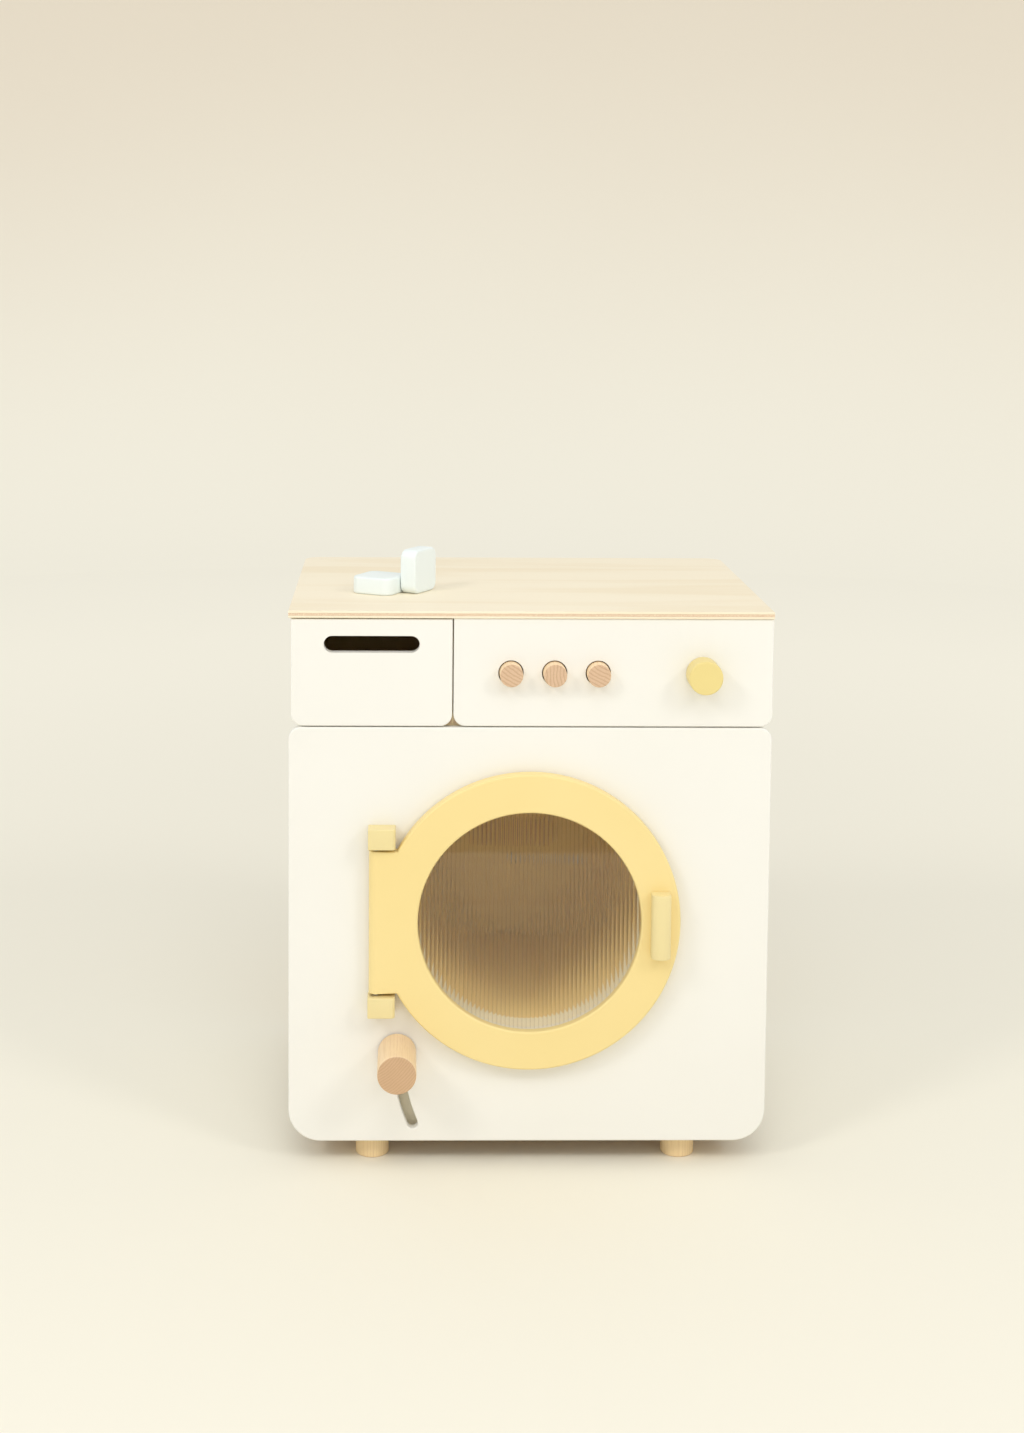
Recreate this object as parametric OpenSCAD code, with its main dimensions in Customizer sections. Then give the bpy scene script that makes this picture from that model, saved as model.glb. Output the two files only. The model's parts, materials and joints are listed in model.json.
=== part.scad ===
// Toy washing machine of painted board, birch plywood and beech dowel.
// Front faces -Y, +Z is up, X = 0 is the middle of the front.
// Depths are measured inwards from the front face.

/* [Cabinet] */
// Width of the front panel and the top board
body_w = 400; // [390:2:420]
// Depth from the front face to the outside of the back panel
body_d = 300; // [280:5:330]
// Height of the top board's upper face above the floor
body_h = 470; // [466:2:500]
// Thickness of the side, bottom and shelf boards
board_t = 9; // [8:0.5:10]
// Thickness of the birch top board
top_t = 6; // [5:0.5:8]
// How far the top board stands out over the front face
top_overhang = 1.5; // [0.5:0.5:4]
// Radius of the top board's two back corners
top_back_r = 15; // [8:1:25]
// Thickness of the back panel
back_t = 4; // [3:0.5:5]
// How far the carcass stands in from the front panel's sides and bottom edge
side_inset = 8; // [8:0.5:10]
// Clear height between the shelf and the top board
upper_h = 90; // [86:1:94]

/* [Fronts] */
// Thickness of the painted front boards
front_t = 9; // [8:0.5:10]
// Height of the front panel's lower edge above the floor
panel_z = 20; // [18:1:22]
// Radius of the front panel's bottom corners
panel_bottom_r = 27; // [25:1:30]
// Radius of the small corners between the fronts
front_corner_r = 10; // [6:1:11]
// Gap between neighbouring fronts
front_gap = 1; // [0.8:0.1:1.5]

/* [Feet] */
// Diameter of the dowel feet
foot_d = 28; // [24:1:32]
// Distance of a foot's centre from the side edge of the front panel
foot_inset_x = 70; // [60:5:80]
// Distance of a foot's centre from the front face and from the back
foot_inset_y = 26.5; // [24:0.5:40]

/* [Door] */
// Height of the door's and the drum's centre above the floor
door_z = 211.5; // [211:0.5:214]
// Radius of the door's round part
door_r = 125; // [122:1:126]
// Distance of the door's hinge edge from its centre
door_tab_x = 133; // [132:0.5:135]
// Height of the straight hinge edge
door_tab_h = 120; // [116:1:122]
// Thickness of the door board
door_t = 12; // [11:0.5:13]
// Gap between the closed door and the front panel
door_gap = 1; // [0.8:0.1:1.4]
// Radius of the door's window
window_r = 92.5; // [90:0.5:93]
// Thickness of the clear window pane
pane_t = 2; // [1.5:0.5:3]
// Thickness of the ring that holds the pane
pane_ring_t = 2.5; // [2:0.5:3]
// Diameter of the steel hinge pins
hinge_pin_d = 5; // [4:0.5:6]
// How far each hinge pin reaches into the door
hinge_pin_reach = 15; // [10:1:20]
// Height of each hinge block
hinge_block_h = 17; // [14:1:20]
// Width of each hinge block
hinge_block_w = 22.6; // [20:0.2:22.8]
// How far the hinge blocks stand out from the front panel
hinge_block_d = 17; // [15:0.5:17.5]
// Bevel on each hinge block's free front edge
hinge_block_bevel = 2; // [2:0.5:3]
// Gap between the door and each hinge block
hinge_gap = 2.5; // [1.5:0.5:3]

/* [Door handle] */
// Width of the door handle
handle_w = 15.5; // [13:0.5:17]
// Height of the door handle
handle_h = 54; // [48:1:60]
// How far the handle's rounded front stands out from the door
handle_out = 14; // [12:0.5:16]
// Radius of the handle's rounded front
handle_round = 9.5; // [9:0.5:14]

/* [Drawer] */
// Width of the drawer front
drawer_w = 133; // [125:1:140]
// How far the drawer front stands in from the top board's end
drawer_inset = 2; // [1:0.5:3]
// Length of the drawer box behind its front
drawer_box_l = 215; // [190:5:230]
// Height of the drawer box
drawer_box_h = 78; // [60:1:80]
// Thickness of the drawer's sides and back
drawer_side_t = 6; // [5:0.5:7]
// Thickness of the drawer bottom
drawer_bottom_t = 4; // [3:0.5:5]
// Length of the finger slot in the drawer front
slot_w = 79; // [60:1:85]
// Height of the finger slot
slot_h = 14; // [12:1:18]
// Height of the finger slot's centre above the shelf
slot_up = 68; // [64:0.5:72]

/* [Buttons and dial] */
// Height of the buttons and the dial above the shelf
controls_up = 44.5; // [40:0.5:50]
// Diameter of each push button
button_d = 19; // [17:0.5:20]
// Gap round each push button in the control panel
button_gap = 1; // [0.8:0.1:1.5]
// How far each button stands out from the panel
button_out = 12; // [10:0.5:14]
// How far each button travels when pressed
button_travel = 8; // [5:0.5:8]
// Distance between neighbouring buttons
button_pitch = 36; // [33:1:40]
// Distance of the first button from the control panel's left edge
button_first = 47.2; // [40:0.5:52]
// Thickness of the collar that keeps each button in
collar_t = 3; // [2:0.5:4]
// Wire diameter of the button springs
spring_wire = 1.2; // [1:0.1:1.4]
// Number of turns of each button spring
spring_turns = 5; // [4:1:6]
// Diameter of the dial
dial_d = 28; // [24:1:34]
// How far the dial stands out from the panel
dial_out = 21; // [16:1:26]
// Distance of the dial's centre from the control panel's right edge
dial_inset = 58.5; // [50:0.5:70]

/* [Lever] */
// Distance of the lever knob from the middle of the front, to its left
lever_x = 109.2; // [108:0.2:110]
// Height of the lever knob at rest
lever_z = 97.5; // [96:0.5:97.5]
// Length of the lever from its pivot to the knob
lever_r = 167; // [164:1:170]
// Slope of the lever at rest, below level, in degrees
lever_rest = 1; // [0:0.5:2]
// Swing of the lever from rest to its lowest place, in degrees
lever_travel = 21.9; // [18:0.1:22]
// Diameter of the lever knob
knob_d = 32; // [28:1:32]
// How far the lever knob stands out from the front face
knob_out = 51; // [40:1:51]
// Diameter of the steel rod that carries the knob
shank_d = 8; // [6:0.5:8]
// Gap between the rod and the sides of its slot
shank_gap = 0.5; // [0.4:0.1:0.8]
// Thickness of the lever arm behind the front panel
arm_t = 4; // [3:0.5:5]
// Width of the lever arm and of the crank arm
arm_w = 16; // [14:0.5:17]
// Diameter of the rocker shaft
shaft_d = 12; // [10:1:12]

/* [Drum] */
// Outside radius of the drum
drum_r = 106; // [105.5:0.5:108]
// Thickness of the drum's wall
drum_wall = 3.5; // [3:0.5:3.5]
// Thickness of the drum's back disc
drum_back_t = 6; // [5:0.5:7]
// Diameter of the drum's axle
axle_d = 12; // [10:1:14]
// Diameter of the drum's hub
hub_d = 44; // [34:1:48]
// Distance from the drum's centre to the crank peg at mid swing
peg_r = 40; // [38:1:44]
// Diameter of the crank peg
peg_d = 8; // [6:0.5:9]

/* [Tablets] */
// Side of each square detergent tablet
tablet_s = 38; // [34:1:40]
// Thickness of each tablet
tablet_t = 15; // [12:1:16]
// Radius of the tablet's upright corners
tablet_r = 8; // [5:1:10]
// Bevel round the tablet's two faces
tablet_bevel = 1.5; // [1:0.5:2]

/* [Hidden] */
$fn = 96;

cream = "#FBF5E9";
yellow = "#F6DF9C";
birch = "#EBD9B4";
beech = "#D9B386";
steel = "#B9BCC0";
mint = "#EAF5F0";
clear = "#D8DDD8";

// Clearances
seat_gap = 0.3;       // between a moving piece and the flat seat that carries it
fit_gap = 0.06;       // radial, for every shaft that turns in a bore
screw_gap = 0.1;      // radial, round every screw
arm_side_gap = 0.5;   // on each side of the lever arm
drum_side_gap = 2;    // between the drum's rim and the inner board
guide_gap = 0.4;      // radial, between the drum and the ring that guides it
crank_gap = 2;        // behind the crank arm
peg_gap = 0.9;        // round the crank peg in its slot
slide_gap = 1;        // on each side of the drawer box

// The whole part is centred on Y, from the lever knob's end to the back panel
front_y = -(body_d - knob_out) / 2;

// Carcass
side_x = body_w / 2 - side_inset;
inner_x = side_x - board_t;
carcass_z = panel_z + side_inset;
floor_z = carcass_z + board_t;
top_under = body_h - top_t;
shelf_top = top_under - upper_h;
shelf_under = shelf_top - board_t;
back_d0 = body_d - back_t;

// Fronts
upper_z = shelf_top - seat_gap;
panel_top = upper_z - front_gap;
drawer_x0 = -body_w / 2 + drawer_inset;
drawer_x1 = drawer_x0 + drawer_w;
control_x0 = drawer_x1 + front_gap;
control_x1 = body_w / 2;
divider_x = (drawer_x1 + control_x0) / 2;
opening_r = window_r + 3;

// Layers behind the front panel
arm_gap = arm_t + 2 * arm_side_gap;
liner_t = 6;
liner_d0 = front_t + arm_gap;
liner_d1 = liner_d0 + liner_t;
spacer_w = 12;

// Door
door_d0 = -door_gap - door_t;
door_d1 = -door_gap;
block_step = 0.8;     // how far the hinge blocks stand past the door's hinge edge
hinge_x = -door_tab_x + door_t / 2;
hinge_d = -door_gap - door_t / 2;
tab_z0 = door_z - door_tab_h / 2;
tab_z1 = door_z + door_tab_h / 2;
block_x0 = -door_tab_x - block_step;
pane_d1 = door_d1 - pane_ring_t;
pane_r = window_r + 6;
pane_ring_r = window_r + 11;
rebate_gap = 0.2;
ring_screw_r = window_r + 8.5;
ring_screws = 8;
handle_x = (window_r + door_r) / 2 - 1;
handle_screw_up = 18;
magnet_d = 8;
magnet_t = 3;
magnet_x = door_r - 12;

// Lever, measured in the plane of the front: x to the right, z up
pivot = [-lever_x + lever_r * cos(lever_rest), lever_z + lever_r * sin(lever_rest)];
lever_slot_w = shank_d + 2 * shank_gap;
boss_d = 26;
knob_gap = 1.5;

// Rear mechanism, laid out forwards from the back panel
post_t = 12;
post_air = 5;
post_d1 = back_d0 - post_air;
post_d0 = post_d1 - post_t;
crank_t = 6;
crank_d1 = post_d0 - crank_gap;
crank_d0 = crank_d1 - crank_t;
drum_back_d1 = crank_d0 - 3;
drum_back_d0 = drum_back_d1 - drum_back_t;
drum_d0 = liner_d1 + drum_side_gap;
drum_inner_r = drum_r - drum_wall;
mouth_r = window_r + 4;
mouth_wall = 3.5;
guide_l = 8;
cap_d = 28;
cap_t = 8;

// The crank swings evenly to both sides of the line from its pivot to the drum's centre
centre_line = [0, door_z] - pivot;
centre_dist = norm(centre_line);
crank_r = centre_dist - peg_r;
crank_angle = atan2(centre_line[1], centre_line[0]) - lever_travel / 2;
peg = pivot + crank_r * [cos(crank_angle), sin(crank_angle)];
peg_far = norm(peg - [0, door_z]);
peg_angle = atan2(peg[1] - door_z, peg[0]);

// Drawer
box_x0 = -inner_x + slide_gap;
box_x1 = divider_x - board_t / 2 - slide_gap;
runner_w = 12;
runner_h = 3;
runner_front_gap = 10;
runner_back_gap = 5;
box_z = shelf_top + runner_h + seat_gap;
box_d1 = front_t + drawer_box_l;
box_bottom_up = 2;

// Buttons
controls_z = shelf_top + controls_up;
button_xs = [for (i = [0:2]) control_x0 + button_first + i * button_pitch];
rail_t = 6;
spring_l = 17.5;
collar_d0 = front_t + seat_gap;
collar_d1 = collar_d0 + collar_t;
collar_d = button_d + 2 * button_gap + 5;
spring_end_gap = 0.1;
rail_d0 = collar_d1 + spring_l;
button_tail = 2;
dial_x = control_x1 - dial_inset;
spindle_d = 8;

// Screws
wood_head_d = 7;
wood_shank_d = 3.6;
small_head_d = 4.4;
small_shank_d = 2;
carcass_screw_l = 30;
foot_screw_l = 24;
back_screw_l = 18;
handle_screw_in = 10;
ring_screw_in = 6;
wood_screw = [wood_head_d, wood_shank_d];
small_screw = [small_head_d, small_shank_d];

// ---- Shapes that repeat ----

// A box given by its sides (x), depths behind the front face and heights
module slab(x, d, z) {
    translate([x[0], front_y + d[0], z[0]]) cube([x[1] - x[0], d[1] - d[0], z[1] - z[0]]);
}

// Extrudes an outline drawn in x and z into a board, from depth d[0] to d[1]
module plate(d) {
    translate([0, front_y + d[1], 0]) rotate([90, 0, 0]) linear_extrude(d[1] - d[0]) children();
}

// A round rod that runs front to back
module rod(at, d, dia) {
    translate([at[0], front_y + d[0], at[1]]) rotate([-90, 0, 0]) cylinder(d = dia, h = d[1] - d[0]);
}

// The same rod with a bevel round its front end
module bevelled_rod(at, d, dia, bevel) {
    translate([at[0], front_y + d[0], at[1]]) rotate([-90, 0, 0]) {
        cylinder(d1 = dia - 2 * bevel, d2 = dia, h = bevel);
        translate([0, 0, bevel]) cylinder(d = dia, h = d[1] - d[0] - bevel);
    }
}

// A rectangle with its corners rounded: r is bottom left, bottom right, top right, top left
module rounded_rectangle(x, z, r) {
    difference() {
        translate([x[0], z[0]]) square([x[1] - x[0], z[1] - z[0]]);
        corner_waste([x[0], z[0]], [1, 1], r[0]);
        corner_waste([x[1], z[0]], [-1, 1], r[1]);
        corner_waste([x[1], z[1]], [-1, -1], r[2]);
        corner_waste([x[0], z[1]], [1, -1], r[3]);
    }
}

// What a round corner of radius r takes away at a corner whose board lies towards side
module corner_waste(corner, side, r) {
    if (r > 0) translate(corner) scale([side[0], side[1]]) difference() {
        translate([-1, -1]) square(r + 1);
        translate([r, r]) circle(r);
    }
}

// A bar of width w with round ends, from one point to the other
module bar(from, to, w) {
    along = to - from;
    for (end = [from, to]) translate(end) circle(d = w);
    translate(from) rotate(atan2(along[1], along[0])) translate([0, -w / 2]) square([norm(along), w]);
}

// A countersunk screw with its head's top at the origin, running down -Z
module screw(kind, l, gap = 0) {
    head_r = kind[0] / 2 + gap;
    shank_r = kind[1] / 2 + gap;
    translate([0, 0, -(head_r - shank_r)]) cylinder(r1 = shank_r, r2 = head_r, h = head_r - shank_r);
    translate([0, 0, -l]) cylinder(r = shank_r, h = l - (head_r - shank_r));
}

// ---- Screw groups, used for the screws and for their holes ----

module carcass_screw_set(gap = 0) {
    for (side = [-1, 1], z = [carcass_z + board_t / 2, shelf_under + board_t / 2], f = [0.15, 0.5, 0.85])
        translate([side * side_x, front_y + f * body_d, z]) rotate([0, side * 90, 0])
            screw(wood_screw, carcass_screw_l, gap);
}

module foot_places() {
    for (x = [-1, 1], d = [foot_inset_y, body_d - foot_inset_y])
        translate([x * (body_w / 2 - foot_inset_x), front_y + d, 0]) children();
}

module foot_screw_set(gap = 0) {
    foot_places() translate([0, 0, floor_z]) screw(wood_screw, foot_screw_l, gap);
}

module back_screw_set(gap = 0) {
    edge_x = inner_x + board_t / 2;
    upright = [for (x = [-edge_x, edge_x], f = [0.08, 0.36, 0.64, 0.92])
        [x, carcass_z + f * (top_under - carcass_z)]];
    across = [for (x = [-0.5, 0, 0.5], z = [carcass_z + board_t / 2, shelf_under + board_t / 2])
        [x * inner_x, z]];
    for (at = concat(upright, across))
        translate([at[0], front_y + body_d, at[1]]) rotate([-90, 0, 0]) screw(wood_screw, back_screw_l, gap);
}

module handle_screw_set(gap = 0) {
    for (up = [-1, 1]) translate([handle_x, front_y + door_d1, door_z + up * handle_screw_up])
        rotate([-90, 0, 0]) screw(wood_screw, door_t + handle_screw_in, gap);
}

module ring_screw_set(gap = 0) {
    for (i = [0:ring_screws - 1]) {
        a = (i + 0.5) * 360 / ring_screws;
        translate([ring_screw_r * cos(a), front_y + door_d1, door_z + ring_screw_r * sin(a)])
            rotate([-90, 0, 0]) screw(small_screw, pane_ring_t + ring_screw_in, gap);
    }
}

// ---- Cabinet ----

module top_board() {
    color(birch) translate([0, 0, top_under]) linear_extrude(top_t)
        rounded_rectangle([-body_w / 2, body_w / 2], [front_y - top_overhang, front_y + body_d],
            [0, 0, top_back_r, top_back_r]);
}

module side_panel(side) {
    color(cream) difference() {
        slab(side < 0 ? [-side_x, -inner_x] : [inner_x, side_x], [front_t, back_d0], [carcass_z, top_under]);
        carcass_screw_set(screw_gap);
        back_screw_set(screw_gap);
    }
}

module side_panel_left() { side_panel(-1); }
module side_panel_right() { side_panel(1); }

module bottom_panel() {
    color(birch) difference() {
        slab([-inner_x, inner_x], [liner_d1, back_d0], [carcass_z, floor_z]);
        carcass_screw_set(screw_gap);
        foot_screw_set(screw_gap);
        back_screw_set(screw_gap);
    }
}

module back_panel() {
    color(birch) difference() {
        slab([-side_x, side_x], [back_d0, body_d], [carcass_z, top_under]);
        back_screw_set(screw_gap);
    }
}

module shelf() {
    color(birch) difference() {
        slab([-inner_x, inner_x], [front_t, back_d0], [shelf_under, shelf_top]);
        carcass_screw_set(screw_gap);
        back_screw_set(screw_gap);
    }
}

module compartment_divider() {
    color(birch) slab([divider_x - board_t / 2, divider_x + board_t / 2], [front_t, back_d0],
        [shelf_top, top_under]);
}

// The board behind the lever arm: it carries the rocker shaft and the mouth ring
module inner_front_board() {
    color(birch) difference() {
        slab([-inner_x, inner_x], [liner_d0, liner_d1], [carcass_z, shelf_under]);
        rod([0, door_z], [liner_d0 - 1, liner_d1 + 1], 2 * (mouth_r + mouth_wall));
        rod(pivot, [liner_d0 - 1, liner_d1 + 1], shaft_d + 2 * fit_gap);
    }
}

// Strips that hold the inner board off the front panel and leave room for the lever arm
module front_spacers() {
    depth = [front_t, liner_d0];
    last = lever_rest + lever_travel;
    arm_clear_x = pivot[0] - (pivot[1] - floor_z - 2 - arm_w / 2 / cos(last)) / tan(last);
    color(birch) {
        slab([-inner_x, -inner_x + spacer_w], depth, [floor_z, shelf_under]);
        slab([inner_x - spacer_w, inner_x], depth, [floor_z, shelf_under]);
        slab([-inner_x + spacer_w, inner_x - spacer_w], depth, [shelf_under - spacer_w, shelf_under]);
        slab([arm_clear_x, inner_x], depth, [carcass_z, floor_z]);
    }
}

module lever_slot() {
    ends = [lever_rest, lever_rest + lever_travel];
    reach = lever_r + lever_slot_w;
    intersection() {
        translate(pivot) difference() {
            circle(lever_r + lever_slot_w / 2);
            circle(lever_r - lever_slot_w / 2);
        }
        polygon([pivot, for (a = ends) pivot - 2 * reach * [cos(a), sin(a)]]);
    }
    for (a = ends) translate(pivot - lever_r * [cos(a), sin(a)]) circle(d = lever_slot_w);
}

module front_panel() {
    color(cream) difference() {
        plate([0, front_t]) difference() {
            rounded_rectangle([-body_w / 2, body_w / 2], [panel_z, panel_top],
                [panel_bottom_r, panel_bottom_r, front_corner_r, front_corner_r]);
            lever_slot();
        }
        rod([0, door_z], [-1, front_t + 1], 2 * opening_r);
        rod([magnet_x, door_z], [-1, magnet_t], magnet_d);
    }
}

// Lines the mouth between the front panel and the drum, and guides the drum's open end
module mouth_ring() {
    color(cream) difference() {
        union() {
            rod([0, door_z], [front_t, liner_d1], 2 * (mouth_r + mouth_wall));
            rod([0, door_z], [liner_d1, drum_d0 + guide_l], 2 * (drum_inner_r - guide_gap));
        }
        rod([0, door_z], [front_t - 1, drum_d0 + guide_l + 1], 2 * mouth_r);
    }
}

module control_panel() {
    color(cream) difference() {
        plate([0, front_t]) rounded_rectangle([control_x0, control_x1], [upper_z, top_under],
            [front_corner_r, front_corner_r, 0, 0]);
        for (x = button_xs) rod([x, controls_z], [-1, front_t + 1], button_d + 2 * button_gap);
        rod([dial_x, controls_z], [-1, front_t + 1], spindle_d + 2 * fit_gap);
    }
}

module button_rail() {
    color(birch) difference() {
        slab([divider_x + board_t / 2, button_xs[2] + button_pitch / 2], [rail_d0, rail_d0 + rail_t],
            [shelf_top, top_under]);
        for (x = button_xs)
            rod([x, controls_z], [rail_d0 - 1, rail_d0 + rail_t + 1], button_d + 2 * fit_gap);
    }
}

module bearing_post() {
    color(birch) difference() {
        slab([-hub_d, pivot[0] + boss_d], [post_d0, post_d1], [floor_z, shelf_under]);
        rod([0, door_z], [post_d0 - 1, post_d1 + 1], axle_d);
        rod(pivot, [post_d0 - 1, post_d1 + 1], shaft_d + 2 * fit_gap);
    }
}

module feet() {
    color(beech) difference() {
        foot_places() {
            cylinder(d1 = foot_d - 2, d2 = foot_d, h = 1);
            translate([0, 0, 1]) cylinder(d = foot_d, h = carcass_z - 1);
        }
        foot_screw_set(screw_gap);
    }
}

module foot_screws() { color(steel) foot_screw_set(); }
module carcass_screws() { color(steel) carcass_screw_set(); }
module back_screws() { color(steel) back_screw_set(); }

module drawer_runners() {
    color(beech) for (x = [box_x0, box_x1 - runner_w])
        slab([x, x + runner_w], [front_t + runner_front_gap, back_d0 - runner_back_gap],
            [shelf_top, shelf_top + runner_h]);
}

// A block beside the door's hinge edge: z is its lower face, its free front edge is bevelled
module hinge_block(z, pin_z) {
    x1 = block_x0 + hinge_block_w;
    color(yellow) difference() {
        translate([0, 0, z]) linear_extrude(hinge_block_h) polygon([
            [block_x0, front_y], [block_x0, front_y - hinge_block_d],
            [x1 - hinge_block_bevel, front_y - hinge_block_d],
            [x1, front_y - hinge_block_d + hinge_block_bevel], [x1, front_y]]);
        hinge_pin(pin_z);
    }
}

block_pin_l = 12;
upper_pin = [tab_z1 - hinge_pin_reach, tab_z1 + hinge_gap + block_pin_l];
lower_pin = [tab_z0 - hinge_gap - block_pin_l, tab_z0 + hinge_pin_reach];

module hinge_pin(z, gap = 0) {
    translate([hinge_x, front_y + hinge_d, z[0] - gap]) cylinder(d = hinge_pin_d, h = z[1] - z[0] + 2 * gap);
}

module hinge_block_upper() { hinge_block(tab_z1 + hinge_gap, upper_pin); }
module hinge_block_lower() { hinge_block(tab_z0 - hinge_gap - hinge_block_h, lower_pin); }

module hinge_pins() {
    color(steel) {
        hinge_pin(upper_pin);
        hinge_pin(lower_pin);
    }
}

module catch_magnet() { color(steel) rod([magnet_x, door_z], [0, magnet_t], magnet_d); }

module drum_axle() { color(steel) rod([0, door_z], [drum_back_d0 - cap_t + 2, post_d1], axle_d); }

module axle_cap() {
    color(beech) difference() {
        bevelled_rod([0, door_z], [drum_back_d0 - seat_gap - cap_t, drum_back_d0 - seat_gap], cap_d, 2);
        rod([0, door_z], [drum_back_d0 - cap_t + 2, drum_back_d0], axle_d);
    }
}

// ---- Door ----

module door_outline() {
    translate([0, door_z]) circle(door_r);
    translate([hinge_x, tab_z0]) square([-hinge_x, door_tab_h]);
}

module door_panel() {
    bore = hinge_pin_d + 2 * fit_gap;
    end_gap = seat_gap;
    color(yellow) difference() {
        union() {
            plate([door_d0, door_d1]) door_outline();
            translate([hinge_x, front_y + hinge_d, tab_z0]) cylinder(d = door_t, h = door_tab_h);
        }
        rod([0, door_z], [door_d0 - 1, door_d1 + 1], 2 * window_r);
        rod([0, door_z], [pane_d1 - pane_t, door_d1 + 1], 2 * (pane_r + rebate_gap));
        rod([0, door_z], [pane_d1, door_d1 + 1], 2 * (pane_ring_r + rebate_gap));
        translate([hinge_x, front_y + hinge_d, upper_pin[0] - end_gap])
            cylinder(d = bore, h = hinge_pin_reach + end_gap + 1);
        translate([hinge_x, front_y + hinge_d, tab_z0 - 1])
            cylinder(d = bore, h = hinge_pin_reach + end_gap + 1);
        rod([magnet_x, door_z], [door_d1 - magnet_t, door_d1 + 1], magnet_d);
        handle_screw_set(screw_gap);
        ring_screw_set(screw_gap);
    }
}

module door_pane() { color(clear, 0.5) rod([0, door_z], [pane_d1 - pane_t, pane_d1], 2 * pane_r); }

module pane_ring() {
    color(cream) difference() {
        rod([0, door_z], [pane_d1, door_d1], 2 * pane_ring_r);
        rod([0, door_z], [pane_d1 - 1, door_d1 + 1], 2 * (window_r + 1.5));
        ring_screw_set(screw_gap);
    }
}

module pane_ring_screws() { color(steel) ring_screw_set(); }

module door_handle() {
    color(yellow) difference() {
        translate([handle_x, front_y + door_d0, door_z - handle_h / 2]) linear_extrude(handle_h)
            intersection() {
                translate([-handle_w / 2, -handle_out]) square([handle_w, handle_out]);
                union() {
                    translate([0, handle_round - handle_out]) circle(handle_round);
                    translate([-handle_w / 2, handle_round - handle_out])
                        square([handle_w, handle_out - handle_round]);
                }
            }
        handle_screw_set(screw_gap);
    }
}

module handle_screws() { color(steel) handle_screw_set(); }

module door_magnet() { color(steel) rod([magnet_x, door_z], [door_d1 - magnet_t, door_d1], magnet_d); }

// ---- Drawer ----

module drawer_front() {
    slot_z = shelf_top + slot_up;
    half = (slot_w - slot_h) / 2;
    middle = (drawer_x0 + drawer_x1) / 2;
    color(cream) plate([0, front_t]) difference() {
        rounded_rectangle([drawer_x0, drawer_x1], [upper_z, top_under - front_gap],
            [front_corner_r, front_corner_r, 0, 0]);
        bar([middle - half, slot_z], [middle + half, slot_z], slot_h);
    }
}

module drawer_side(x) {
    color(birch) slab([x, x + drawer_side_t], [front_t, box_d1], [box_z, box_z + drawer_box_h]);
}

module drawer_side_left() { drawer_side(box_x0); }
module drawer_side_right() { drawer_side(box_x1 - drawer_side_t); }

module drawer_back() {
    color(birch) slab([box_x0 + drawer_side_t, box_x1 - drawer_side_t], [box_d1 - drawer_side_t, box_d1],
        [box_z, box_z + drawer_box_h]);
}

module drawer_bottom() {
    color(birch) slab([box_x0 + drawer_side_t, box_x1 - drawer_side_t], [front_t, box_d1 - drawer_side_t],
        [box_z + box_bottom_up, box_z + box_bottom_up + drawer_bottom_t]);
}

// ---- Buttons ----

module button(i) {
    color(beech) bevelled_rod([button_xs[i], controls_z], [-button_out, rail_d0 + rail_t + button_tail],
        button_d, 0.6);
}

module button_collar(i) {
    color(beech) difference() {
        rod([button_xs[i], controls_z], [collar_d0, collar_d1], collar_d);
        rod([button_xs[i], controls_z], [collar_d0 - 1, collar_d1 + 1], button_d);
    }
}

// A helical spring round the button, from the collar to the rail
spring_sides = 6;
spring_steps = 14;
spring_r = (button_d + collar_d) / 4 - 0.2;
spring_rise = spring_l - 2 * spring_end_gap - spring_wire;

function coil_ring(k) = [for (s = [0:spring_sides - 1])
    let (turn = 360 * k / spring_steps, a = 360 * s / spring_sides,
         r = spring_r + spring_wire / 2 * cos(a))
    [r * cos(turn), r * sin(turn),
     spring_wire / 2 * (1 + sin(a)) + spring_rise * k / (spring_steps * spring_turns)]];

module coil_spring() {
    last = spring_steps * spring_turns;
    n = spring_sides;
    polyhedron(
        points = [for (k = [0:last]) each coil_ring(k)],
        faces = concat(
            [[for (s = [0:n - 1]) s]],
            [for (k = [0:last - 1], s = [0:n - 1])
                [k * n + s, (k + 1) * n + s, (k + 1) * n + (s + 1) % n, k * n + (s + 1) % n]],
            [[for (s = [n - 1:-1:0]) last * n + s]]));
}

module button_spring(i) {
    color(steel) translate([button_xs[i], front_y + collar_d1 + spring_end_gap, controls_z])
        rotate([-90, 0, 0]) coil_spring();
}

module button_1() { button(0); }
module button_2() { button(1); }
module button_3() { button(2); }
module button_1_collar() { button_collar(0); }
module button_2_collar() { button_collar(1); }
module button_3_collar() { button_collar(2); }
module button_1_spring() { button_spring(0); }
module button_2_spring() { button_spring(1); }
module button_3_spring() { button_spring(2); }

// ---- Dial ----

spindle_in = 16;
retainer_t = 6;
dial_gap = 0.5;

module dial_knob() {
    color(yellow) difference() {
        bevelled_rod([dial_x, controls_z], [-dial_out, -dial_gap], dial_d, 1.5);
        rod([dial_x, controls_z], [-spindle_in, 0], spindle_d);
    }
}

module dial_spindle() {
    color(steel) rod([dial_x, controls_z], [-spindle_in, front_t + dial_gap + retainer_t], spindle_d);
}

module dial_retainer() {
    color(beech) difference() {
        rod([dial_x, controls_z], [front_t + dial_gap, front_t + dial_gap + retainer_t], 3 * spindle_d);
        rod([dial_x, controls_z], [front_t, front_t + 2 * retainer_t], spindle_d);
    }
}

// ---- Lever, rocker shaft and crank ----

knob_at = [-lever_x, lever_z];
shank_in = knob_out / 2;

module lever_knob() {
    color(beech) difference() {
        bevelled_rod(knob_at, [-knob_out, -knob_gap], knob_d, 1);
        rod(knob_at, [-shank_in, 0], shank_d);
    }
}

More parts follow.
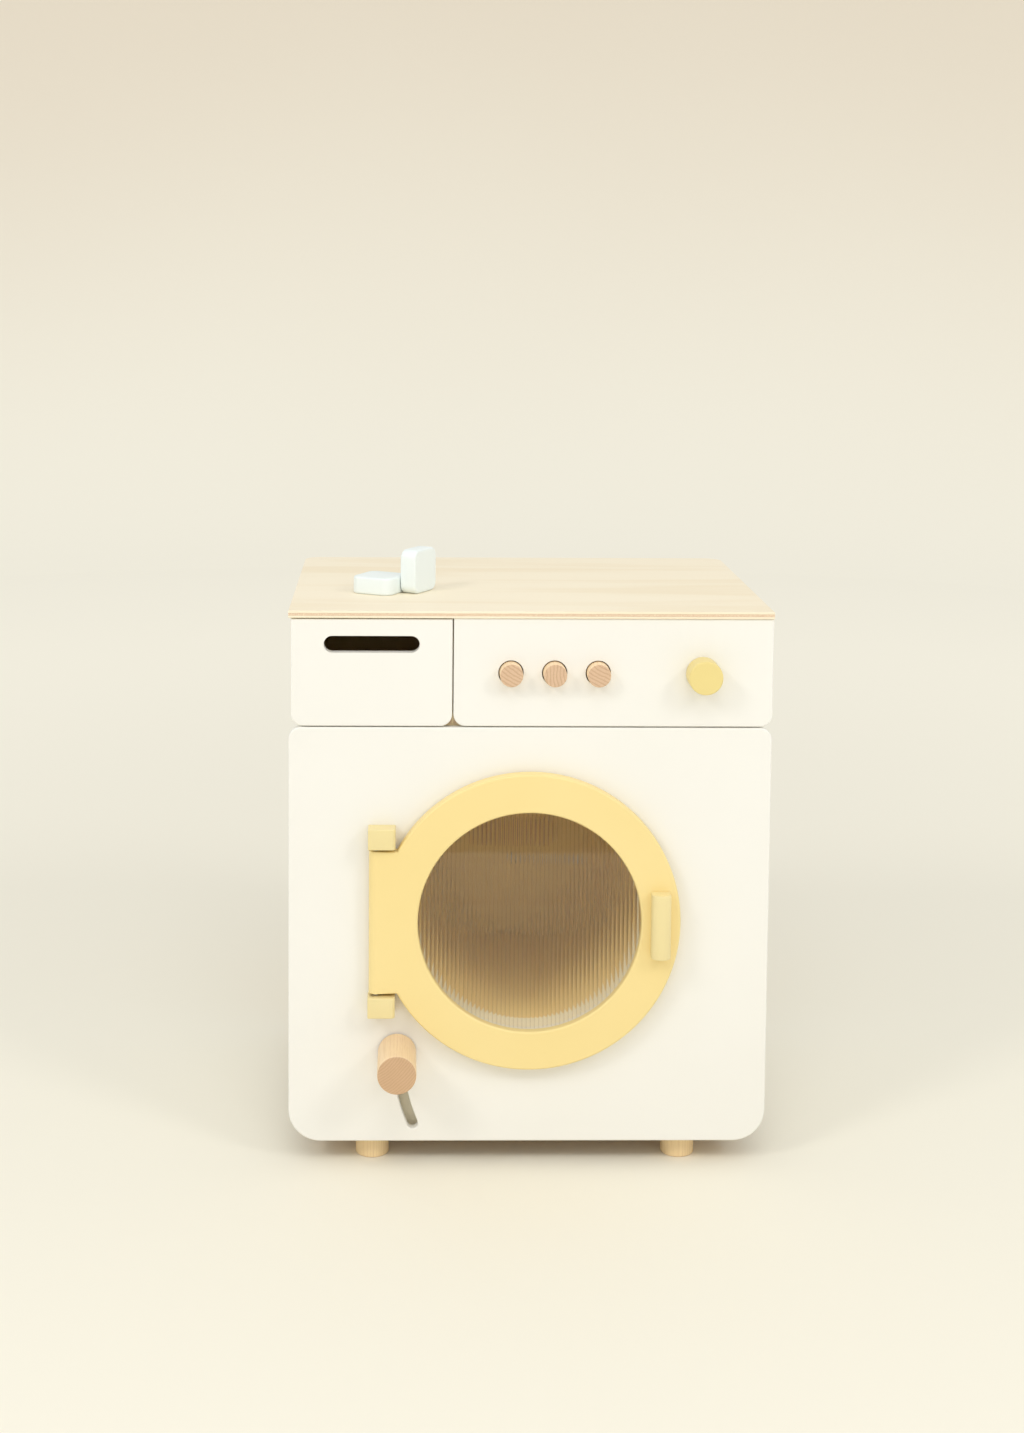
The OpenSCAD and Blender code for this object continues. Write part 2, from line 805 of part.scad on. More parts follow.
module lever_shank() {
    color(steel) rod(knob_at, [-shank_in, front_t + arm_side_gap + arm_t], shank_d);
}

module lever_arm() {
    depth = [front_t + arm_side_gap, front_t + arm_side_gap + arm_t];
    color(birch) difference() {
        union() {
            plate(depth) bar(pivot, knob_at, arm_w);
            rod(pivot, depth, boss_d);
        }
        rod(knob_at, [0, liner_d0], shank_d);
        rod(pivot, [0, liner_d0], shaft_d);
    }
}

module rocker_shaft() { color(beech) rod(pivot, [front_t + arm_side_gap, post_d1 + 1], shaft_d); }

module crank_arm() {
    color(birch) difference() {
        union() {
            plate([crank_d0, crank_d1]) bar(pivot, peg, arm_w);
            rod(pivot, [crank_d0, crank_d1], boss_d);
        }
        rod(pivot, [crank_d0 - 1, crank_d1 + 1], shaft_d);
        rod(peg, [crank_d0 - 1, crank_d1 + 1], peg_d);
    }
}

module crank_peg() { color(steel) rod(peg, [drum_back_d0 + 1.5, crank_d1], peg_d); }

// ---- Drum ----

module drum_shell() {
    color(birch) difference() {
        rod([0, door_z], [drum_d0, drum_back_d0], 2 * drum_r);
        rod([0, door_z], [drum_d0 - 1, drum_back_d0 + 1], 2 * drum_inner_r);
    }
}

// The peg's slot lies along the radius from the centre to the peg at rest
module drum_back() {
    depth = [drum_back_d0 - 1, drum_back_d1 + 1];
    color(birch) difference() {
        rod([0, door_z], [drum_back_d0, drum_back_d1], 2 * drum_r);
        translate([0, 0, door_z]) rotate([0, -peg_angle, 0])
            slot_cut(peg_r - peg_gap, peg_far + peg_gap, depth, peg_d + 2 * peg_gap);
        rod([0, door_z], depth, axle_d + 2 * fit_gap);
    }
}

// A straight slot of width w with round ends, from x0 to x1 along X
module slot_cut(x0, x1, d, w) {
    slab([x0, x1], d, [-w / 2, w / 2]);
    for (x = [x0, x1]) rod([x, 0], d, w);
}

module drum_hub() {
    color(beech) difference() {
        rod([0, door_z], [drum_back_d1, post_d0 - arm_side_gap], hub_d);
        rod([0, door_z], [drum_back_d1 - 1, post_d0], axle_d + 2 * fit_gap);
    }
}

// ---- Detergent tablets ----

// Places on the top board: distance from its left end and from the front face, and the turn seen from above
lying_at = [74.2, 95];
lying_turn = -28;
standing_at = [107.1, 98.4];
standing_turn = 60;

module tablet() {
    half = tablet_s / 2 - tablet_r;
    color(mint) translate([0, 0, -tablet_t / 2]) hull() for (x = [-half, half], y = [-half, half])
        translate([x, y, 0]) {
            cylinder(r = tablet_r - tablet_bevel, h = tablet_t, $fn = 32);
            translate([0, 0, tablet_bevel])
                cylinder(r = tablet_r, h = tablet_t - 2 * tablet_bevel, $fn = 32);
        }
}

module tablet_lying() {
    translate([lying_at[0] - body_w / 2, front_y + lying_at[1], body_h + tablet_t / 2])
        rotate(lying_turn) tablet();
}

module tablet_standing() {
    translate([standing_at[0] - body_w / 2, front_y + standing_at[1], body_h + tablet_s / 2])
        rotate(standing_turn) rotate([90, 0, 0]) tablet();
}

// ---- The nodes ----

top_board();
side_panel_left();
side_panel_right();
bottom_panel();
back_panel();
shelf();
compartment_divider();
inner_front_board();
front_spacers();
front_panel();
mouth_ring();
control_panel();
button_rail();
bearing_post();
feet();
foot_screws();
carcass_screws();
back_screws();
drawer_runners();
hinge_block_upper();
hinge_block_lower();
hinge_pins();
catch_magnet();
drum_axle();
axle_cap();
door_panel();
door_pane();
pane_ring();
pane_ring_screws();
door_handle();
handle_screws();
door_magnet();
drawer_front();
drawer_side_left();
drawer_side_right();
drawer_back();
drawer_bottom();
button_1();
button_2();
button_3();
button_1_collar();
button_2_collar();
button_3_collar();
button_1_spring();
button_2_spring();
button_3_spring();
dial_knob();
dial_spindle();
dial_retainer();
lever_knob();
lever_shank();
lever_arm();
rocker_shaft();
crank_arm();
crank_peg();
drum_shell();
drum_back();
drum_hub();
tablet_lying();
tablet_standing();
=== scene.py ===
import json
import math

import bmesh
import bpy
from mathutils import Matrix, Vector


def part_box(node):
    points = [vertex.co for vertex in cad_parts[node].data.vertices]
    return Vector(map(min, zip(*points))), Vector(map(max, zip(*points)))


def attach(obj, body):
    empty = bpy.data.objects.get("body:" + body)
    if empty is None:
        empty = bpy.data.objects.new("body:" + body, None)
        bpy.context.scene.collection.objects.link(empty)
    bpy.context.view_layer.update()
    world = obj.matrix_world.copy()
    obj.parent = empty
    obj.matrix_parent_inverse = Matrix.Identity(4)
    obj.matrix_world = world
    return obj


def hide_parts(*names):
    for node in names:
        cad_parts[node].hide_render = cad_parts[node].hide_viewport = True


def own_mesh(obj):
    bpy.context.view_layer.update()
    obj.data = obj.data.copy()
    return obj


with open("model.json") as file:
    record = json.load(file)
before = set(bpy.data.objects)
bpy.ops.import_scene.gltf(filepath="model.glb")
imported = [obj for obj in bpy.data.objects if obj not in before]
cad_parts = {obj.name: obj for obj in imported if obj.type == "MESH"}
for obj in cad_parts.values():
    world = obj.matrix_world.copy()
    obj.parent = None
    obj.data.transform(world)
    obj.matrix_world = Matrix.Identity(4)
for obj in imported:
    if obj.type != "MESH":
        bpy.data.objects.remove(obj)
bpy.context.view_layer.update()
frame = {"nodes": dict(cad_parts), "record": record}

RECORD = frame["record"]
BODY_OF = {node: body for body, nodes in RECORD["behaviour"]["bodies"].items() for node in nodes}
X, Y, Z = 0, 1, 2
MM = 0.001
SAME_POINT = 2e-6      # corners of the loose triangles that lie closer than this are one point
QUARTER = math.pi / 2
BUTTONS = (1, 2, 3)


# ---- Camera, first of all ----

def set_camera():
    """A camera in front of the machine, above and slightly to its left."""
    data = bpy.data.cameras.new("camera")
    data.sensor_width = 36.0
    data.lens = 51.0
    data.shift_x, data.shift_y = 0.05, -0.20
    data.clip_start, data.clip_end = 0.05, 50.0
    camera = bpy.data.objects.new("camera", data)
    eye = (-0.105, -1.772, 0.758)
    pitch, yaw, roll = (math.radians(angle) for angle in (4.82, 1.00, 0.36))
    camera.matrix_world = (Matrix.Translation(eye)
                           @ Matrix.Rotation(-yaw, 4, "Z")
                           @ Matrix.Rotation(QUARTER - pitch, 4, "X")
                           @ Matrix.Rotation(roll, 4, "Z"))
    bpy.context.scene.collection.objects.link(camera)
    bpy.context.scene.camera = camera


set_camera()


# ---- Node helpers ----

def add(tree, kind, inputs=None, **settings):
    """Adds a node, sets it up and wires or fills its inputs."""
    node = tree.nodes.new(kind)
    for name, value in settings.items():
        setattr(node, name, value)
    for name, value in (inputs or {}).items():
        if isinstance(value, bpy.types.NodeSocket):
            tree.links.new(value, node.inputs[name])
        else:
            node.inputs[name].default_value = value
    return node


def calc(tree, operation, a, b=0.0, c=0.0, clamp=False):
    return add(tree, "ShaderNodeMath", {0: a, 1: b, 2: c}, operation=operation, use_clamp=clamp).outputs[0]


def mix(tree, factor, a, b, blend="MIX"):
    node = add(tree, "ShaderNodeMix", data_type="RGBA", blend_type=blend)
    for index, value in ((0, factor), (6, a), (7, b)):
        if isinstance(value, bpy.types.NodeSocket):
            tree.links.new(value, node.inputs[index])
        else:
            node.inputs[index].default_value = value
    return node.outputs[2]


def band(tree, value, low, high):
    """0 below low, 1 above high, and smooth in between."""
    return add(tree, "ShaderNodeMapRange", {"Value": value, "From Min": low, "From Max": high},
               interpolation_type="SMOOTHSTEP").outputs["Result"]


def noise(tree, place, scale, detail=2.0, roughness=0.5, distortion=0.0):
    inputs = {"Vector": place, "Scale": scale, "Detail": detail, "Roughness": roughness,
              "Distortion": distortion}
    return add(tree, "ShaderNodeTexNoise", inputs).outputs["Fac"]


def object_place(tree):
    return add(tree, "ShaderNodeTexCoord").outputs["Object"]


def along(tree, place, axis, stretch):
    """Draws a pattern out along one axis, as wood fibres are."""
    scale = [1.0, 1.0, 1.0]
    scale[axis] = 1.0 / stretch
    return add(tree, "ShaderNodeMapping", {"Vector": place, "Scale": scale}).outputs[0]


def facing(tree, axis):
    """1 where the surface faces along the axis, 0 on the surfaces beside it."""
    normal = add(tree, "ShaderNodeTexCoord").outputs["Normal"]
    part = add(tree, "ShaderNodeSeparateXYZ", {0: normal}).outputs[axis]
    return band(tree, calc(tree, "ABSOLUTE", part), 0.55, 0.8)


def new_material(name, roughness):
    material = bpy.data.materials.new(name)
    material.use_nodes = True
    tree = material.node_tree
    shader = tree.nodes["Principled BSDF"]
    shader.inputs["Roughness"].default_value = roughness
    return material, tree, shader


def bump(tree, shader, height, distance, strength=1.0):
    node = add(tree, "ShaderNodeBump", {"Height": height, "Distance": distance, "Strength": strength})
    tree.links.new(node.outputs[0], shader.inputs["Normal"])


def rough_between(tree, shader, pattern, low, high):
    value = add(tree, "ShaderNodeMapRange", {"Value": pattern, "To Min": low, "To Max": high})
    tree.links.new(value.outputs["Result"], shader.inputs["Roughness"])


# ---- Finishes ----

def painted(name, colour, shade, roughness=0.42):
    """Satin paint sprayed on board: a faint orange peel and a faint drift of the colour."""
    material, tree, shader = new_material(name, roughness)
    place = object_place(tree)
    drift = noise(tree, place, 7.0, 3.0)
    tree.links.new(mix(tree, band(tree, drift, 0.3, 0.75), colour, shade), shader.inputs["Base Color"])
    peel = noise(tree, place, 1100.0, 1.0)
    ripple = noise(tree, place, 160.0, 2.0)
    rough_between(tree, shader, ripple, roughness - 0.05, roughness + 0.06)
    bump(tree, shader, calc(tree, "MULTIPLY_ADD", ripple, 0.6, peel), 0.00003, 0.5)
    return material


def veneer(tree, place, grain, light, dark, figure):
    """Rotary-cut birch: wide drifting bands, fine fibres and short flecks along the grain."""
    bands = noise(tree, along(tree, place, grain, 9.0), 26.0, 3.0, 0.55, 0.6)
    fibres = noise(tree, along(tree, place, grain, 45.0), 1300.0, 3.0, 0.6)
    flecks = noise(tree, along(tree, place, grain, 12.0), 1500.0, 1.0)
    broad = calc(tree, "MULTIPLY", band(tree, bands, 0.35, 0.7), 0.55)
    tone = calc(tree, "MULTIPLY_ADD", fibres, 0.45, broad)
    colour = mix(tree, calc(tree, "MULTIPLY", band(tree, tone, 0.15, 0.85), figure), light, dark)
    fleck_tone = (dark[0] * 0.72, dark[1] * 0.62, dark[2] * 0.5, 1.0)
    fleck = calc(tree, "MULTIPLY", band(tree, flecks, 0.66, 0.75), 0.18 * figure)
    return mix(tree, fleck, colour, fleck_tone), fibres


# The light and the dark tone of the veneer
BIRCH = ((0.905, 0.738, 0.475, 1.0), (0.815, 0.620, 0.350, 1.0))
PALE_BIRCH = ((0.945, 0.852, 0.668, 1.0), (0.885, 0.762, 0.548, 1.0))
WARM_BIRCH = ((0.930, 0.740, 0.355, 1.0), (0.870, 0.645, 0.270, 1.0))
# painted shade: a dark brown birch for the bottom panel, so that it deepens and browns the shade on the
# floor under the machine
UNDERSIDE_SHADE_BIRCH = ((0.580, 0.370, 0.165, 1.0), (0.500, 0.305, 0.125, 1.0))
PLY_END = (0.720, 0.500, 0.350, 1.0)
PLY_GLUE = (0.420, 0.240, 0.130, 1.0)


def plies_and_glue(tree, place, level, face, tones):
    """The edge of a plywood board, where level counts the plies from one face."""
    wave = noise(tree, place, 45.0, 1.0)
    level = calc(tree, "MULTIPLY_ADD", calc(tree, "SUBTRACT", wave, 0.5), 0.22, level)
    cross = calc(tree, "MODULO", calc(tree, "FLOOR", level), 2.0)
    inside = calc(tree, "FRACT", level)
    seam = calc(tree, "MAXIMUM", calc(tree, "SUBTRACT", 1.0, band(tree, inside, 0.0, 0.12)),
                band(tree, inside, 0.88, 1.0))
    speckle = noise(tree, place, 2600.0, 2.0)
    end_grain = mix(tree, band(tree, speckle, 0.4, 0.7), PLY_END, tones[1])
    return mix(tree, calc(tree, "MULTIPLY", seam, 0.55), mix(tree, cross, face, end_grain), PLY_GLUE)


def plywood(node, thickness, grain, plies=5, tones=BIRCH, figure=1.0):
    """Birch plywood for one board: veneer on its faces, plies and glue lines round its edges."""
    material, tree, shader = new_material("birch_ply_" + node, 0.5)
    place = object_place(tree)
    low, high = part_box(node)
    face, fibres = veneer(tree, place, grain, *tones, figure)
    depth = add(tree, "ShaderNodeSeparateXYZ", {0: place}).outputs[thickness]
    level = calc(tree, "MULTIPLY", calc(tree, "SUBTRACT", depth, low[thickness]),
                 plies / (high[thickness] - low[thickness]))
    edge = plies_and_glue(tree, place, level, face, tones)
    tree.links.new(mix(tree, facing(tree, thickness), edge, face), shader.inputs["Base Color"])
    rough_between(tree, shader, fibres, 0.44, 0.6)
    bump(tree, shader, fibres, 0.00004, 0.5)
    return material


def bent_plywood(node, wall, plies=3, tones=BIRCH, figure=1.0):
    """Plywood bent round Y into a tube: its plies show as rings on the tube's two ends."""
    material, tree, shader = new_material("bent_ply_" + node, 0.5)
    place = object_place(tree)
    low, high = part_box(node)
    middle = (low + high) / 2
    face, fibres = veneer(tree, place, Y, *tones, figure)
    centred = add(tree, "ShaderNodeMapping", {"Vector": place, "Location": (-middle.x, 0.0, -middle.z),
                                              "Scale": (1.0, 0.0, 1.0)}).outputs[0]
    reach = add(tree, "ShaderNodeVectorMath", {0: centred}, operation="LENGTH").outputs["Value"]
    inner = (high.x - low.x) / 2 - wall
    level = calc(tree, "MULTIPLY", calc(tree, "SUBTRACT", reach, inner), plies / wall)
    rim = plies_and_glue(tree, place, level, face, tones)
    tree.links.new(mix(tree, facing(tree, Y), face, rim), shader.inputs["Base Color"])
    rough_between(tree, shader, fibres, 0.44, 0.6)
    bump(tree, shader, fibres, 0.00004, 0.5)
    return material


PORE_TONE = (0.36, 0.21, 0.12, 1.0)


def beech(name, grain, pith, side=(0.94, 0.730, 0.475, 1.0), end=(0.66, 0.435, 0.258, 1.0), ring=2.1 * MM,
          deep=0.6):
    """Beech dowel: growth rings round a pith beside the piece, pores along the grain, darker ends."""
    material, tree, shader = new_material(name, 0.45)
    place = object_place(tree)
    to_pith = [-value for value in pith]
    centred = add(tree, "ShaderNodeMapping", {"Vector": place, "Location": to_pith}).outputs[0]
    parts = add(tree, "ShaderNodeSeparateXYZ", {0: centred})
    cross = [parts.outputs[axis] for axis in (X, Y, Z) if axis != grain]
    reach = calc(tree, "SQRT", calc(tree, "MULTIPLY_ADD", cross[0], cross[0],
                                    calc(tree, "MULTIPLY", cross[1], cross[1])))
    drift = noise(tree, along(tree, place, grain, 8.0), 90.0, 2.0)
    years = calc(tree, "MULTIPLY_ADD", drift, 1.1, calc(tree, "MULTIPLY", reach, 1.0 / ring))
    rings = calc(tree, "FRACT", years)
    late = band(tree, rings, 0.45, 0.95)
    pores = noise(tree, along(tree, place, grain, 35.0), 2400.0, 2.0)
    broad = noise(tree, along(tree, place, grain, 14.0), 120.0, 2.0)
    specks = band(tree, pores, 0.56, 0.68)
    side_dark = (side[0] * 0.86, side[1] * 0.79, side[2] * 0.70, 1.0)
    end_dark = (end[0] * 0.82, end[1] * 0.76, end[2] * 0.70, 1.0)
    side_rings = calc(tree, "MULTIPLY_ADD", late, 0.35, calc(tree, "MULTIPLY", broad, 0.5))
    side_tone = mix(tree, side_rings, side, side_dark)
    side_tone = mix(tree, calc(tree, "MULTIPLY", specks, 0.22), side_tone, end_dark)
    end_rings = calc(tree, "MULTIPLY_ADD", late, deep, calc(tree, "MULTIPLY", broad, 0.35))
    end_tone = mix(tree, end_rings, end, end_dark)
    end_tone = mix(tree, calc(tree, "MULTIPLY", specks, 0.4), end_tone, PORE_TONE)
    tree.links.new(mix(tree, facing(tree, grain), side_tone, end_tone), shader.inputs["Base Color"])
    rough_between(tree, shader, pores, 0.4, 0.58)
    bump(tree, shader, calc(tree, "SUBTRACT", late, calc(tree, "MULTIPLY", specks, 1.5)), 0.00004, 0.5)
    return material


def metal(name, colour, roughness, grain):
    """Drawn or plated steel with a fine brushed direction."""
    material, tree, shader = new_material(name, roughness)
    place = object_place(tree)
    lines = noise(tree, along(tree, place, grain, 25.0), 2200.0, 2.0)
    tree.links.new(mix(tree, lines, colour, [value * 0.86 for value in colour[:3]] + [1.0]),
                   shader.inputs["Base Color"])
    shader.inputs["Metallic"].default_value = 1.0
    rough_between(tree, shader, lines, roughness - 0.06, roughness + 0.12)
    bump(tree, shader, lines, 0.00001, 0.4)
    return material


RIB_PITCH = 3.5 * MM


def clear_plastic(name, middle):
    """Clear ribbed acrylic, its base colour darkened along the rib valleys as painted shade. Lamps shine
    through it to what lies behind.
    """
    material, tree, shader = new_material(name, 0.02)
    shader.inputs["Transmission Weight"].default_value = 1.0
    shader.inputs["IOR"].default_value = 1.49
    crest_tone, crest_shade = (0.992, 0.978, 0.935, 1.0), (0.976, 0.962, 0.918, 1.0)
    # the first colour is painted shade for the rib valleys
    valley_painted_shade, lamp_tone = (0.885, 0.858, 0.800, 1.0), (0.985, 0.975, 0.950, 1.0)
    place = object_place(tree)
    clear = mix(tree, noise(tree, place, 60.0, 2.0), crest_tone, crest_shade)
    across = add(tree, "ShaderNodeSeparateXYZ", {0: place}).outputs[X]
    count = calc(tree, "DIVIDE", calc(tree, "SUBTRACT", across, middle), RIB_PITCH)
    valley = calc(tree, "ABSOLUTE", calc(tree, "SUBTRACT", calc(tree, "FRACT", count), 0.5))
    # painted shade: a darker colour laid along each rib valley
    tree.links.new(mix(tree, band(tree, valley, 0.04, 0.2), valley_painted_shade, clear),
                   shader.inputs["Base Color"])
    lamp = add(tree, "ShaderNodeLightPath").outputs["Is Shadow Ray"]
    through = add(tree, "ShaderNodeBsdfTransparent", {"Color": lamp_tone}).outputs[0]
    both = add(tree, "ShaderNodeMixShader", {0: lamp, 1: shader.outputs[0], 2: through}).outputs[0]
    tree.links.new(both, tree.nodes["Material Output"].inputs["Surface"])
    return material


CREAM = painted("cream_paint", (0.890, 0.874, 0.824, 1.0), (0.876, 0.858, 0.804, 1.0))
WARM_CREAM = painted("warm_cream_paint", (0.930, 0.868, 0.690, 1.0), (0.918, 0.852, 0.668, 1.0))
YELLOW = painted("yellow_paint", (0.910, 0.725, 0.328, 1.0), (0.892, 0.705, 0.306, 1.0))
PALE_YELLOW = painted("pale_yellow_paint", (0.850, 0.715, 0.368, 1.0), (0.835, 0.698, 0.346, 1.0))
DEEP_YELLOW = painted("deep_yellow_paint", (0.830, 0.680, 0.275, 1.0), (0.815, 0.662, 0.258, 1.0))
MINT = painted("mint_paint", (0.865, 0.925, 0.915, 1.0), (0.850, 0.912, 0.900, 1.0), 0.5)
STEEL = metal("zinc_steel", (0.62, 0.63, 0.65, 1.0), 0.3, Y)
SPRING_STEEL = metal("spring_steel", (0.50, 0.51, 0.53, 1.0), 0.28, X)
MAGNET = metal("magnet_nickel", (0.70, 0.69, 0.67, 1.0), 0.2, X)
CLEAR = clear_plastic("clear_ribbed", sum(p.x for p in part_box("door_pane")) / 2)
BEECH = {
    "lever": beech("beech_lever", Y, (-0.150, 0.0, 0.140)),
    "feet": beech("beech_feet", Z, (0.300, 0.200, 0.0), side=(0.95, 0.735, 0.430, 1.0)),
    "inner": beech("beech_inner", Y, (0.050, 0.0, 0.300)),
}


# ---- Mesh helpers ----

def merged(node):
    """The node's triangles with their doubles merged, as a bmesh."""
    bm = bmesh.new()
    bm.from_mesh(frame["nodes"][node].data)
    bmesh.ops.remove_doubles(bm, verts=bm.verts, dist=SAME_POINT)
    return bm


def into_scene(name, mesh):
    obj = bpy.data.objects.new(name, mesh)
    bpy.context.scene.collection.objects.link(obj)
    return obj


def evaluated(obj):
    """The object's mesh with its modifiers applied. The object itself is removed."""
    depsgraph = bpy.context.evaluated_depsgraph_get()
    mesh = bpy.data.meshes.new_from_object(obj.evaluated_get(depsgraph), depsgraph=depsgraph)
    bpy.data.objects.remove(obj)
    return mesh


def dress(name, mesh, nodes, material, sharp=40.0):
    """Puts a finished mesh in the scene in place of its nodes, on their body."""
    mesh.name = name
    mesh.materials.clear()
    mesh.materials.append(material)
    if sharp:
        mesh.shade_smooth()
        mesh.set_sharp_from_angle(angle=math.radians(sharp))
    obj = into_scene(name, mesh)
    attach(obj, BODY_OF[nodes[0]])
    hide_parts(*nodes)
    return obj


def softened(node, radius, material, segments=4):
    """A copy of a block whose outer edges are rounded."""
    low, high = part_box(node)
    still_flat, sharp_from, near_side = math.radians(0.3), math.radians(35), 2.5 * MM
    bm = merged(node)
    bmesh.ops.dissolve_limit(bm, angle_limit=still_flat, verts=bm.verts, edges=bm.edges)
    layer = bm.edges.layers.float.new("bevel_weight_edge")
    for edge in bm.edges:
        sharp = len(edge.link_faces) == 2 and edge.calc_face_angle() > sharp_from
        middle = (edge.verts[0].co + edge.verts[1].co) / 2
        sides = sum(min(middle[i] - low[i], high[i] - middle[i]) < near_side for i in (X, Y, Z))
        edge[layer] = 1.0 if sharp and sides >= 2 else 0.0
    mesh = bpy.data.meshes.new(node)
    bm.to_mesh(mesh)
    bm.free()
    obj = into_scene(node, mesh)
    rounding = obj.modifiers.new("rounding", "BEVEL")
    rounding.limit_method = "WEIGHT"
    rounding.width = radius
    rounding.segments = segments
    rounding.use_clamp_overlap = False
    rounding.harden_normals = True
    obj.data.shade_smooth()
    return dress("dressed_" + node, evaluated(obj), [node], material, sharp=0)


def loop_spans(after):
    """How far across each rim is, looked up by its points."""
    span = {}
    for first in after:
        if first not in span:
            rim, vert = [first], after[first]
            while vert is not first:
                rim.append(vert)
                vert = after[vert]
            width = max(max(v.co[i] for v in rim) - min(v.co[i] for v in rim) for i in (X, Y, Z))
            span.update(dict.fromkeys(rim, width))
    return span


def round_over(bm, axis, side, level, radius, pick, steps):
    """Rounds the picked points of the rims round one flat face, and fills the face anew inside them."""
    out = Vector((0.0, 0.0, 0.0))
    out[axis] = side
    faces_out, same_level = 0.999, 0.001 * MM
    flat = [f for f in bm.faces
            if f.normal.dot(out) > faces_out and abs(f.verts[0].co[axis] - level) < same_level]
    inside = set(flat)
    after, inward = {}, {}
    for face in flat:
        for corner in face.loops:
            if sum(f in inside for f in corner.edge.link_faces) == 1:
                start, stop = corner.vert, corner.link_loop_next.vert
                after[start] = stop
                inward[start] = out.cross(stop.co - start.co).normalized()
    before = {stop: start for start, stop in after.items()}
    span = loop_spans(after)
    slide = {}
    for vert in after:
        one, two = inward[before[vert]], inward[vert]
        slide[vert] = (one + two) / (1.0 + one.dot(two)) * (radius if pick(vert.co, span[vert]) else 0.0)
    bmesh.ops.delete(bm, geom=flat, context="FACES")
    rings = {}
    for vert in after:
        rings[vert] = [vert]
        start = vert.co.copy()
        if slide[vert].length > 0.0:
            for step in range(1, steps + 1):
                turn = QUARTER * step / steps
                place = start + slide[vert] * (1 - math.cos(turn)) - out * radius * (1 - math.sin(turn))
                rings[vert].append(bm.verts.new(place))
            vert.co = start - out * radius
        else:
            rings[vert] *= steps + 1
    for vert, follower in after.items():
        one, two = rings[vert], rings[follower]
        for step in range(steps):
            corners = list(dict.fromkeys((one[step], two[step], two[step + 1], one[step + 1])))
            if len(corners) > 2:
                bm.faces.new(corners).tag = True
    rim = [bm.edges.get((rings[vert][-1], rings[follower][-1])) for vert, follower in after.items()]
    filled = bmesh.ops.triangle_fill(bm, use_beauty=True, use_dissolve=False, edges=rim, normal=out)["geom"]
    for face in filled:
        if isinstance(face, bmesh.types.BMFace):
            face.normal_update()
            if face.normal.dot(out) < 0:
                face.normal_flip()


def corner_normals(mesh, rounded, limit=35.0):
    """Shading in which flat faces stay flat and the small rounded faces between them turn smoothly."""
    faces_at = [[] for _ in mesh.vertices]
    for face in mesh.polygons:
        for index in face.vertices:
            faces_at[index].append(face.index)
    normals = [face.normal.copy() for face in mesh.polygons]
    light = 1e-5       # the rounded faces hardly weigh, so the flat ones keep their own direction
    weights = [face.area * (light if face.index in rounded else 1.0) for face in mesh.polygons]
    least = math.cos(math.radians(limit))
    result = []
    for face in mesh.polygons:
        for index in face.vertices:
            total = Vector((0.0, 0.0, 0.0))
            for other in faces_at[index]:
                if normals[other].dot(face.normal) > least:
                    total += normals[other] * weights[other]
            result.append(total.normalized())
    mesh.shade_smooth()
    mesh.normals_split_custom_set(result)


def rounded_board(node, axis, radius, material, pick=lambda place, span: True, sides=(-1, 1), steps=4):
    """A copy of a board with the picked rims of its flat faces rounded over."""
    low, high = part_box(node)
    bm = merged(node)
    bm.normal_update()
    for side in sides:
        round_over(bm, axis, side, (low if side < 0 else high)[axis], radius, pick, steps)
    bm.faces.index_update()
    rounded = {face.index for face in bm.faces if face.tag}
    mesh = bpy.data.meshes.new(node)
    bm.to_mesh(mesh)
    bm.free()
    corner_normals(mesh, rounded)
    return dress("dressed_" + node, mesh, [node], material, sharp=0)


def lathe(profile, origin, axis, steps=96):
    """Turns a profile of (radius, place along the axis) round the axis. It starts and ends on the axis."""
    others = [i for i in (X, Y, Z) if i != axis]
    points, rows = [], []
    for radius, place in profile:
        count = 1 if radius < 1e-9 else steps
        rows.append(range(len(points), len(points) + count))
        for step in range(count):
            turn = 2 * math.pi * step / steps
            point = list(origin)
            point[axis] += place
            point[others[0]] += radius * math.cos(turn)
            point[others[1]] += radius * math.sin(turn)
            points.append(point)
    faces = []
    for one, two in zip(rows, rows[1:]):
        for step in range(steps):
            after = (step + 1) % steps
            corners = (one[step % len(one)], one[after % len(one)],
                       two[after % len(two)], two[step % len(two)])
            faces.append(list(dict.fromkeys(corners)))
    return outward(points, faces)


def outward(points, faces):
    """A mesh of these faces, all turned outwards."""
    mesh = bpy.data.meshes.new("shape")
    mesh.from_pydata(points, [], faces)
    bm = bmesh.new()
    bm.from_mesh(mesh)
    bmesh.ops.recalc_face_normals(bm, faces=bm.faces)
    bm.to_mesh(mesh)
    bm.free()
    return mesh


def dowel_profile(radius, start, stop, start_round, stop_round, steps=6):
    """A dowel's outline with both ends rounded over, and a ring inside each to keep the face flat."""
    flat_ring = 0.4 * MM
    turns = [QUARTER * step / steps for step in range(steps + 1)]
    rising = [(radius - start_round * (1 - math.sin(turn)), start + start_round * (1 - math.cos(turn)))
              for turn in turns]
    falling = [(radius - stop_round * (1 - math.cos(turn)), stop - stop_round * (1 - math.sin(turn)))
               for turn in turns]
    return ([(0.0, start), (radius - start_round - flat_ring, start)] + rising + falling
            + [(radius - stop_round - flat_ring, stop), (0.0, stop)])


def centre_of(node):
    low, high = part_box(node)
    return (low + high) / 2


def dowel(node, material, axis=Y, start_round=1.0 * MM, stop_round=0.5 * MM):
    """A turned piece over a dowel node, with softly rounded ends."""
    low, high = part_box(node)
    middle = centre_of(node)
    radius = max(high[i] - low[i] for i in (X, Y, Z) if i != axis) / 2
    origin = middle.copy()
    origin[axis] = 0.0
    profile = dowel_profile(radius, low[axis], high[axis], start_round, stop_round)
    return dress("turned_" + node, lathe(profile, origin, axis), [node], material)


# ---- Shapes grown by geometry nodes ----

